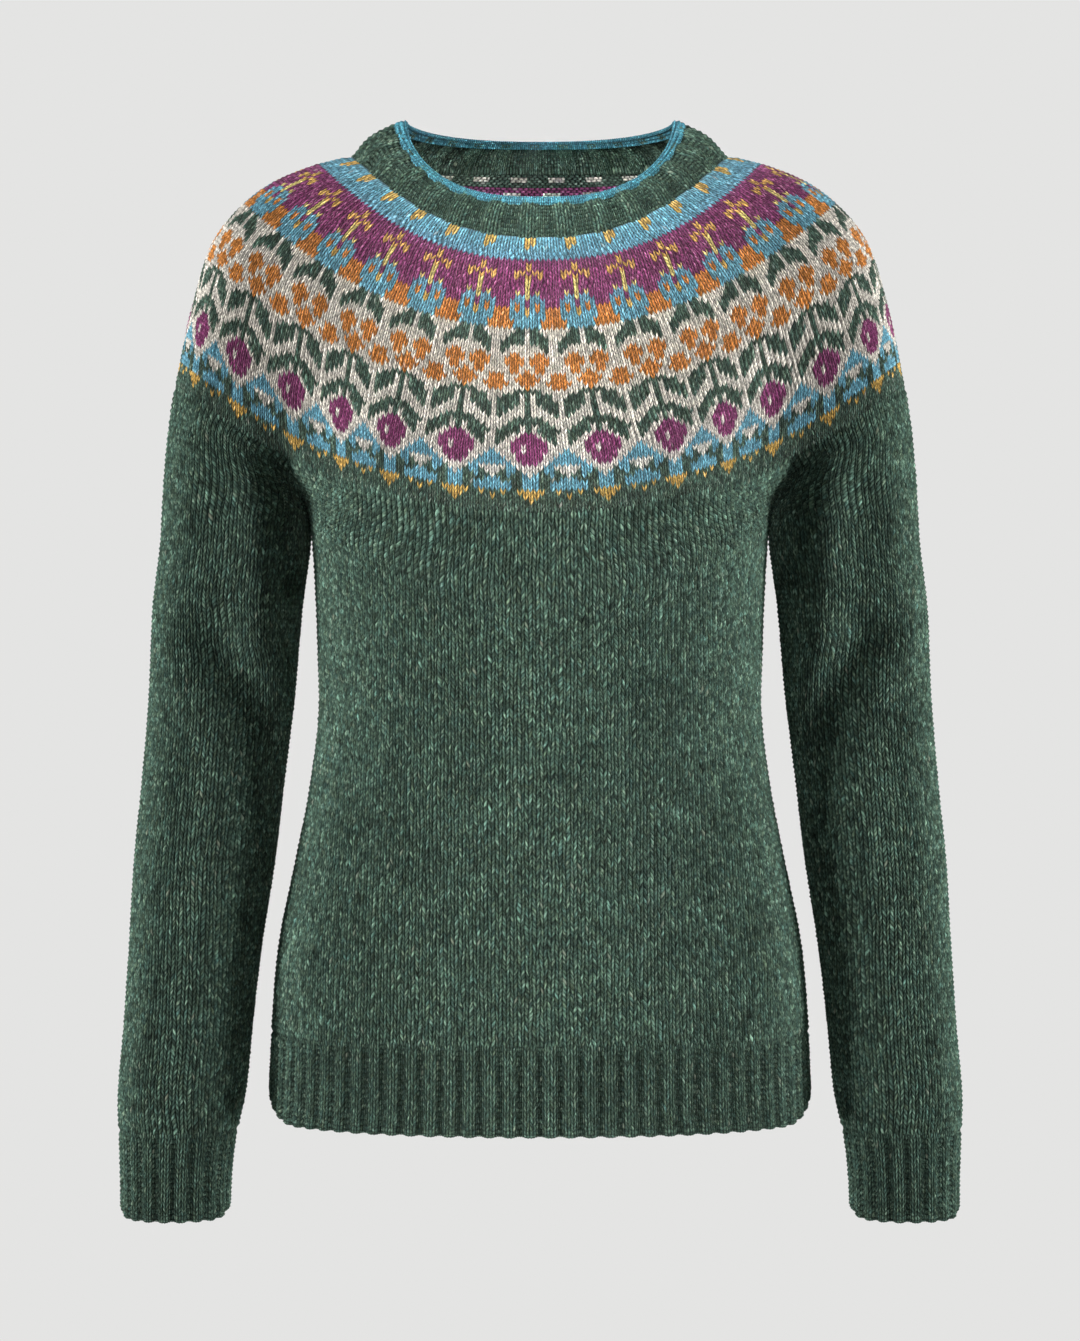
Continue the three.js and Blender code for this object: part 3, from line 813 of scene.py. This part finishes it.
def makeYoke(materials):
    random = np.random.default_rng(seeds["yoke"])
    knit = Knit("yoke_knit")
    across = yokeAcross()
    rowCount = len(yokeChart)
    corners, middles = stitchPoints(yokeField, rowCount, across, random, yokeDown, yokeRelief)
    chart = yarnIndex([fullRow(row) * yokeKnit["repeats"] for row in yokeChart]).repeat(2, axis=1)
    grid = addStitches(knit, corners, middles, chart, heather(random, chart), "stitches")
    down = np.concatenate([np.arange(yokeFineRows) / rowCount,
                           np.linspace(yokeFineRows / rowCount, 1, yokeCoarseLines)])
    backAcross = np.linspace(across[0, 0], across[0, 0] + 1, neckStitches + 1)
    back = np.full((len(down) - 1, neckStitches), yarnLetters.index("G"))
    back[plumRows] = yarnLetters.index("P")
    for row, letters in yokeFloats.items():
        back[row] = yarnIndex([letters * yokeKnit["repeats"]])[0]
    addWrongSide(knit, yokeField, grid, across, down, backAcross, back)
    return knit.build(materials)


# Boundaries of the stitches on each line of a panel, as fractions of the line's length.
# Every stitch has the same width, so the columns run straight and end at the edges.
def panelAcross(field, rowCount, stitches):
    lengths = rowLengthAt(field, np.arange(rowCount + 1) / rowCount)[:, None]
    across = np.clip(0.5 + np.arange(-stitches, stitches + 1) / 2 * gauge["stitch"] / lengths, 0, 1)
    across[:, 0] = 0
    across[:, -1] = 1
    return across


def makePanel(name, field, materials):
    random = np.random.default_rng(seeds[name])
    knit = Knit(name + "_knit")
    rowCount = round(field["height"] / gauge["row"])
    stitches = 2 * math.ceil(field["rowLength"].max() / gauge["stitch"] / 2)
    across = panelAcross(field, rowCount, stitches)
    corners, middles = stitchPoints(field, rowCount, across, random)
    yarn = np.zeros((rowCount, 2 * stitches), int)
    grid = addStitches(knit, corners, middles, yarn, heather(random, yarn), "stitches")
    # The wrong side is fine enough to stay behind the stitches in the creases
    down = np.linspace(0, 1, rowCount // 2 + 1)
    back = np.zeros((len(down) - 1, stitches), int)
    addWrongSide(knit, field, grid, across, down, np.linspace(0, 1, stitches + 1), back)
    print(name, rowCount, "rows of up to", stitches, "stitches")
    return knit.build(materials)


# purlDrop is in rows; "pull" is how much wider a rib gets when it is pulled flat, and "period" the
# width of two knit and two purl ribs
ribs = {
    "purlDepth": 0.0023,
    "purlDrop": -0.35,
    "purlWidth": 0.64,
    "strand": 0.00055,
    "evenness": 0.55,
    "pull": 1.35,
    "period": 0.0126,
}
# Painted shade: how much darker the sunk purl furrows are coloured, standing in for the shade that falls in
# them
purlPaintedShade = {
    "neckband": 0.24,
    "neck_edge": 0.48,
    "hem_rib_front": 0.48,
    "hem_rib_back": 0.48,
    "cuff_left": 0.34,
    "cuff_right": 0.34,
}
# Rows over which the purl furrows deepen from the seam; at the neck they start just past it
furrowRows = {"bottom": 3, "neck": 1.3, "neckStart": 1.04}
# Relief of the knitting on a rib's free edge, as a share of that on its wall
edgeEvenness = 0.4
# Lines on the wrong side of a hem or cuff rib, which is hardly seen
plainInnerRows = 4
ribBend = (45, 90, 135)


def ribSide(start, end, rows, angle, fade):
    return [[down, angle, fade] for down in np.linspace(start, end, rows + 1)]


# The way round a ribbed wall, as steps of place down the field, angle and how much of the stitches'
# V shows. The angle is 0 on the outer side and 180 on the inner side.
def ribPath(rim, rowCount, radius):
    if rim == "bottom":
        path = ribSide(0, 1 - radius, rowCount, 0, 1)
        path += [[1 - radius, angle, 0] for angle in ribBend]
        path += ribSide(1 - radius, 0, plainInnerRows, 180, 0)
        for back in (0, 1, 2):
            path[rowCount - back][2] = back / 3
        path[0][2] = 0
    elif rim == "top":
        path = ribSide(1, radius, rowCount, 180, 1)
        path += [[radius, angle, 0] for angle in reversed(ribBend)]
        path += ribSide(radius, 1, rowCount, 0, 1)
        path[rowCount][2] = 0
        path[rowCount + len(ribBend) + 1][2] = 0
    else:
        path = ribSide(0, 1, rowCount, 0, 1)
        path += [[1 + 0.9 / rowCount, 180, 0]]
        path += ribSide(1, 0, rowCount, 180, 1)[1:]
    path = np.array(path + path[:1], float)
    return path[:, :1], np.radians(path[:, 1:2]), path[:, 2:]


# A ribbed wall: outer side, free edge, then the inner side, closed at the seam. "rim" says where the
# rounded free edge is: "bottom", "top" or None.
def makeRib(name, field, isKnit, thickness, materials, rim=None, yarnRows=None):
    random = np.random.default_rng(seeds[name])
    knit = Knit(name + "_knit")
    stitches = len(isKnit)
    rowCount = round(field["height"] / gauge["row"])
    radius = thickness / 2 / field["height"]
    downs, angles, fades = ribPath(rim, rowCount, radius)

    weights = np.where(isKnit, 1, ribs["purlWidth"]).repeat(2) / 2
    across = np.concatenate([[0], np.cumsum(weights)]) / weights.sum() * np.ones_like(downs)
    if field["closed"]:
        across = spreadRound(across + yokeKnit["phase"][0] / yokeKnit["repeats"], yokeKnit["spread"][0])

    # How much of a knit rib each boundary is; the rest is purl, which is sunk on the outer side
    knitShare = isKnit.astype(float)
    beside = np.pad(knitShare, 1, mode="wrap" if field["closed"] else "edge")
    boundaryKnit = np.empty(2 * stitches + 1)
    boundaryKnit[0::2] = (beside[:-1] + beside[1:]) / 2
    boundaryKnit[1::2] = knitShare
    outward = (1 + np.cos(angles)) / 2
    if rim == "bottom":
        fadeIn = smoothStep(downs * rowCount / furrowRows["bottom"])
        inward = 0
    else:
        fadeIn = smoothStep((furrowRows["neckStart"] - downs) * rowCount / furrowRows["neck"])
        inward = 1 - outward
    sunk = -ribs["purlDepth"] * fadeIn * ((1 - boundaryKnit) * outward + boundaryKnit * inward)
    isTucked = ((downs == 0) & (angles == 0)) * (rim == "bottom")
    sunk = sunk - relief["tuck"] * isTucked
    half = np.arange(2 * stitches + 1) % 2
    isVee = boundaryKnit * outward + (1 - boundaryKnit) * (1 - outward)
    drop = half * (gauge["vDrop"] * isVee + ribs["purlDrop"] * (1 - isVee)) * fades
    placesDown = downs + drop / rowCount * (1 - 2 * radius)

    def place(down, across, angle, rise):
        points, normals = sampleField(field, down, across)
        above, _ = sampleField(field, down - 0.5 / rowCount, across)
        below, _ = sampleField(field, down + 0.5 / rowCount, across)
        run = below - above
        run /= np.linalg.norm(run, axis=-1, keepdims=True)
        if rim == "top":
            run = -run
        out = normals * np.cos(angle)[..., None] + run * np.sin(angle)[..., None]
        return points - normals * (thickness / 2) + out * (thickness / 2 + rise)[..., None]

    full = np.broadcast_to(angles, across.shape)
    evenness = np.where((angles > 0) & (angles < math.pi), edgeEvenness, 1)
    corners = place(placesDown, across, full, sunk + relief["groove"] * evenness)
    lift = ribs["strand"] + random.normal(0, relief["jitter"], (len(downs) - 1, 2 * stitches))
    lift *= evenness[:-1] * evenness[1:]
    lift[0] -= relief["tuck"] * isTucked[0, 0]
    middleSunk = cellMiddles(sunk)
    middles = place(cellMiddles(placesDown), cellMiddles(across), cellMiddles(full), middleSunk + lift)
    # Bands that close the wall inside a seam stay flat
    middles[-1] = cellMiddles(corners[-2:])[0]
    if rim is None:
        middles[rowCount] = cellMiddles(corners[rowCount:rowCount + 2])[0]
    yarn = np.zeros(lift.shape, int)
    if yarnRows is not None:
        yarn = yarnRows(random, yarn)
    shade = heather(random, yarn, ribs["evenness"])
    # Painted shade: the sunk purl furrows are coloured darker by how deep they lie
    shade *= (1 - purlPaintedShade[name] * np.clip(middleSunk / -ribs["purlDepth"], 0, 1))[..., None]
    grid = addStitches(knit, corners, middles, yarn, shade, "ribs")
    if not field["closed"]:
        turnLine = rowCount + 2
        for column in (0, -1):
            lines = [grid[:turnLine + 1, column], grid[turnLine:-1, column][::-1]]
            if column == -1:
                lines.reverse()
            first, second = lines
            faces = zipLines(first, np.linspace(0, 1, len(first)), second, np.linspace(0, 1, len(second)))
            addStrip(knit, faces, "ribEnds")
    print(name, rowCount, "rows of", stitches, "stitches")
    return knit.build(materials)


# Rib order round the neck: three knit, four purl, with a knit rib over each flower
neckIsKnit = np.tile([False, False, True, True, True, False, False], yokeKnit["repeats"])
# Share of the neckband's first stitches that show the blue of its edge
blueShare = 0.45


def bandYarn(random, yarn):
    isBlue = random.random(yarn.shape[1] // 2).repeat(2) < blueShare
    yarn[0] = np.where(isBlue, yarnLetters.index("C"), yarn[0])
    return yarn


def edgeYarn(random, yarn):
    return np.full_like(yarn, yarnLetters.index("C"))


# Wool: strands with ply and fibres from their own coordinates, over the yarn's colour. The heights
# add up to the bump, a scale is along and across a strand, and patches and fibres are contrasts.
woolLook = {
    "bump": 1.0,
    "bumpDepth": 0.0007,
    "roundness": 0.6,
    "endRoundness": 0.9,
    "bodyHeight": 0.62,
    "plyHeight": 0.12,
    "plySlant": 2.4,
    "fibreHeight": 0.45,
    "patchScale": (1.3, 0.9),
    "fibreScale": (3.0, 6.0),
    "cellOffset": 9.0,
    "patches": 60,
    "fibres": 12,
    # The next two shares are painted shade: the colour at a strand's ends and along its sides is darkened
    # towards them
    "groove": 0.03,
    "overlapPaintedShade": 0.30,
    "fleck": 0.004,
    "fleckStrength": 0.5,
    "hairs": 0.25,
    "hairsFrom": 0.62,
    "roughness": 0.92,
    "specular": 0.18,
    "sheen": 0.15,
    "sheenRoughness": 0.55,
}
nodeSpacing = {"columns": 10, "x": 220, "y": 260}


# Sockets get linked to the node's inputs, and other values set
def feed(tree, node, inputs):
    for name, value in inputs.items():
        if isinstance(value, bpy.types.NodeSocket):
            tree.links.new(value, node.inputs[name])
        else:
            node.inputs[name].default_value = value


# New nodes are laid out in lines below the first ones
def newNode(tree, kind, inputs=None, **settings):
    node = tree.nodes.new(kind)
    line, column = divmod(len(tree.nodes), nodeSpacing["columns"])
    node.location = (column * nodeSpacing["x"], -(line + 1) * nodeSpacing["y"])
    for key, value in settings.items():
        setattr(node, key, value)
    feed(tree, node, inputs or {})
    return node


def woolMaterial(name, slotColour, wrongSide, palest):
    material = bpy.data.materials.new(name)
    material.use_nodes = True
    material.diffuse_color = (*linearColour(slotColour), 1)
    tree = material.node_tree

    def calculate(operation, *values):
        return newNode(tree, "ShaderNodeMath", dict(enumerate(values)), operation=operation).outputs[0]

    multiply = partial(calculate, "MULTIPLY")
    add = partial(calculate, "ADD")
    uv = newNode(tree, "ShaderNodeUVMap", uv_map="Strand")
    split = newNode(tree, "ShaderNodeSeparateXYZ", {0: uv.outputs[0]})
    x, y = split.outputs[0], split.outputs[1]
    if wrongSide:
        # Purl bumps lie across, two to a row and staggered
        y = multiply(y, 2)
        x = add(x, multiply(calculate("MODULO", calculate("FLOOR", y), 2), 0.5))
    along, over = calculate("FRACT", x), calculate("FRACT", y)

    def arch(value, power):
        wave = calculate("SINE", multiply(value, math.pi))
        return calculate("POWER", calculate("MAXIMUM", wave, 0), power)

    rounded = arch(over, woolLook["roundness"])
    ends = arch(along, woolLook["endRoundness"])
    body = multiply(rounded, ends)
    cell = newNode(tree, "ShaderNodeCombineXYZ", {0: calculate("FLOOR", x), 1: calculate("FLOOR", y)})
    cellNoise = newNode(tree, "ShaderNodeTexWhiteNoise", {"Vector": cell.outputs[0]}, noise_dimensions="2D")
    chance = cellNoise.outputs["Value"]

    def fibreNoise(scales, offset):
        place = newNode(tree, "ShaderNodeCombineXYZ", {
            0: multiply(x, scales[0]),
            1: multiply(y, scales[1]),
            2: calculate("MULTIPLY_ADD", chance, woolLook["cellOffset"], offset),
        })
        noise = newNode(tree, "ShaderNodeTexNoise", {
            "Vector": place.outputs[0],
            "Scale": 1.0,
            "Detail": 2.0,
            "Roughness": 0.6,
        })
        return noise.outputs["Fac"]

    # Fibres run with the strand, plies cross it slantwise
    patch = fibreNoise(woolLook["patchScale"], 0.0)
    fibre = fibreNoise(woolLook["fibreScale"], 40.0)
    slant = add(multiply(along, woolLook["plySlant"]), over)
    ply = calculate("ABSOLUTE", calculate("SINE", multiply(slant, math.pi)))
    height = add(multiply(body, woolLook["bodyHeight"]), multiply(ply, woolLook["plyHeight"]))
    bump = newNode(tree, "ShaderNodeBump", {
        "Strength": woolLook["bump"],
        "Distance": woolLook["bumpDepth"],
        "Height": add(height, multiply(fibre, woolLook["fibreHeight"])),
    })

    # Colour: painted shade darkens the grooves at each strand's ends and sides, streaked by fibres, with
    # pale hairs and a few pale flecks
    yarn = newNode(tree, "ShaderNodeAttribute", attribute_name="Yarn")
    patchTone = calculate("POWER", woolLook["patches"], calculate("SUBTRACT", patch, 0.5))
    fibreTone = calculate("POWER", woolLook["fibres"], calculate("SUBTRACT", fibre, 0.5))
    # Painted shade: the colour darkens towards each strand's ends and sides, where the grooves lie
    endPaintedShade = calculate("MULTIPLY_ADD", ends, 1 - woolLook["groove"], woolLook["groove"])
    edgePaintedShade = calculate("MULTIPLY_ADD", rounded, 1 - woolLook["overlapPaintedShade"], woolLook["overlapPaintedShade"])
    toneAndPaintedShade = newNode(tree, "ShaderNodeVectorMath", {
        0: yarn.outputs["Color"],
        "Scale": multiply(multiply(patchTone, fibreTone), multiply(endPaintedShade, edgePaintedShade)),
    }, operation="SCALE")
    fleck = multiply(calculate("GREATER_THAN", chance, 1 - woolLook["fleck"]), woolLook["fleckStrength"])
    hair = multiply(calculate("GREATER_THAN", patch, woolLook["hairsFrom"]), woolLook["hairs"])
    pale = newNode(tree, "ShaderNodeMix", {
        0: multiply(calculate("MAXIMUM", fleck, hair), body),
        6: toneAndPaintedShade.outputs[0],
        7: (*linearColour(palest), 1),
    }, data_type="RGBA")
    feed(tree, tree.nodes["Principled BSDF"], {
        "Base Color": pale.outputs[2],
        "Normal": bump.outputs[0],
        "Roughness": woolLook["roughness"],
        "Specular IOR Level": woolLook["specular"],
        "Sheen Weight": woolLook["sheen"],
        "Sheen Roughness": woolLook["sheenRoughness"],
        "Sheen Tint": (*linearColour(slotColour), 1),
    })
    return material


# Each wool's own colour, that of its wrong side and that of its palest hairs
woolColours = {
    "green_wool": {"right": (96, 128, 112), "wrong": (96, 128, 112), "hairs": (150, 156, 138)},
    "yoke_wool": {"right": (200, 196, 186), "wrong": (120, 120, 120), "hairs": (190, 186, 176)},
    "blue_wool": {"right": (130, 190, 212), "wrong": (130, 190, 212), "hairs": (150, 190, 205)},
}
wools = {
    name: [woolMaterial(name, colours["right"], False, colours["hairs"]),
           woolMaterial(name + "_inside", colours["wrong"], True, colours["hairs"])]
    for name, colours in woolColours.items()
}
print("wool materials ready")


# Puts a piece on the frame's root and hides the part that it stands for
def declare(piece, node):
    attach(piece, "root")
    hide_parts(node)


declare(makeYoke(wools["yoke_wool"]), "yoke")
neckband = makeRib("neckband", neckbandField, neckIsKnit, wall["rib"], wools["green_wool"],
                   yarnRows=bandYarn)
declare(neckband, "neckband")
neckEdge = makeRib("neck_edge", neckEdgeField, np.full(neckStitches, True), wall["edge"],
                   wools["blue_wool"], "top", edgeYarn)
declare(neckEdge, "neck_edge")
print("yoke and neckband knitted")


# A panel that hangs from the yoke, with the rib that is worked on it
def makePanelAndRib(panelName, panelShape, ribName, ribShape):
    field = clothField(panelShape, False)
    declare(makePanel(panelName, field, wools["green_wool"]), panelName)
    field = clothField(ribShape, False, 25, 321)
    isKnit = np.arange(4 * round(field["rowLength"].max() / ribs["period"]) + 2) % 4 < 2
    rib = makeRib(ribName, field, isKnit, wall["rib"], wools["green_wool"], "bottom")
    declare(rib, ribName)


bodySides = {
    "front": {"arc": (-hemArcAtCrease, hemArcAtCrease), "turns": (-quarter, quarter)},
    "back": {"arc": (hemArcAtBackCrease, hemLength - hemArcAtBackCrease), "turns": (quarter, -quarter)},
}
for name, side in bodySides.items():
    curve = partial(bodyPoint, isFront=name == "front")
    panel = panelRows(*side["arc"], curve, *side["turns"], heights["ribTop"])
    rib = straightRows(curve, *side["turns"], heights["ribTop"], heights["hem"], cornerRadius["hem"])
    makePanelAndRib(name, panel, "hem_rib_" + name, rib)


def mirrored(rows):
    return rows[:, ::-1] * np.array([-1, 1, 1])


sleeve = panelRows(hemArcAtCrease, hemArcAtBackCrease, sleevePoint, 0, 2 * math.pi, heights["cuffTop"])
cuff = straightRows(sleevePoint, 0, 2 * math.pi, heights["cuffTop"], heights["cuffEnd"],
                    cornerRadius["cuff"])
makePanelAndRib("sleeve_left", sleeve, "cuff_left", cuff)
makePanelAndRib("sleeve_right", mirrored(sleeve), "cuff_right", mirrored(cuff))
print("body, sleeves and cuffs knitted")

# Camera, light and a pale floor
studio = {
    "paper": (228, 228, 227),
    "paperRoughness": 0.9,
    "fill": 0.05,
    "cameraHeight": -0.3237,
    "cameraDistance": 2.3,
    "sensorWidth": 36,
    "framedHeight": 0.845,
    "floorZ": -1.25,
    "floorRadius": 2.4,
    "floorCorners": 96,
}
paperColour = (*linearColour(studio["paper"]), 1)
scene = bpy.context.scene
scene.view_settings.view_transform = "Standard"
world = bpy.data.worlds.new("studio")
world.use_nodes = True
# The paper looks pale, while the lamps give most of the light
ray = newNode(world.node_tree, "ShaderNodeLightPath")
strength = newNode(world.node_tree, "ShaderNodeMapRange", {
    "Value": ray.outputs["Is Camera Ray"],
    "To Min": studio["fill"],
    "To Max": 1.0,
})
feed(world.node_tree, world.node_tree.nodes["Background"], {0: paperColour, 1: strength.outputs["Result"]})
scene.world = world

camera = bpy.data.objects.new("camera", bpy.data.cameras.new("camera"))
scene.collection.objects.link(camera)
camera.location = (0, -studio["cameraDistance"], studio["cameraHeight"])
camera.rotation_euler = (math.pi / 2, 0, 0)
camera.data.sensor_width = studio["sensorWidth"]
camera.data.lens = studio["sensorWidth"] * studio["cameraDistance"] / studio["framedHeight"]
scene.camera = camera

# Each lamp stands at "place" and faces the height "aim"; power is in watts and spread in degrees
lamps = {
    "left": {"place": (-2.33, -1.30, -0.12), "size": (1.0, 1.4), "power": 85},
    "right": {"place": (2.33, -1.30, -0.12), "size": (1.0, 1.4), "power": 85},
    "front_strip": {"place": (0, -2.8, 0.24), "size": (0.20, 0.9), "power": 0.43, "spread": 6.5},
    "neck": {"place": (0, -2.3, 0.6), "size": (0.16, 0.12), "power": 0.13, "spread": 6, "aim": -0.02},
    "behind": {"place": (0.3, 3.0, 0.5), "size": (1.6, 1.6), "power": 110},
}


def addLamp(name, place, size, power, spread=180, aim=-0.3):
    lamp = bpy.data.lights.new(name, "AREA")
    lamp.shape = "RECTANGLE"
    lamp.size, lamp.size_y = size
    lamp.spread = math.radians(spread)
    lamp.energy = power
    light = bpy.data.objects.new(name, lamp)
    light.location = place
    light.rotation_euler = (Vector((0, 0, aim)) - Vector(place)).to_track_quat("-Z", "Y").to_euler()
    scene.collection.objects.link(light)


for name, lamp in lamps.items():
    addLamp(name, **lamp)

floorMesh = bpy.data.meshes.new("floor")
turns = np.linspace(0, 2 * math.pi, studio["floorCorners"], endpoint=False)
edge = [(studio["floorRadius"] * math.cos(turn), studio["floorRadius"] * math.sin(turn), studio["floorZ"])
        for turn in turns]
floorMesh.from_pydata(edge, [], [list(range(len(edge)))])
floor = bpy.data.objects.new("floor", floorMesh)
scene.collection.objects.link(floor)
paper = bpy.data.materials.new("pale_paper")
paper.use_nodes = True
feed(paper.node_tree, paper.node_tree.nodes["Principled BSDF"],
     {"Base Color": paperColour, "Roughness": studio["paperRoughness"]})
floorMesh.materials.append(paper)
print("studio ready")
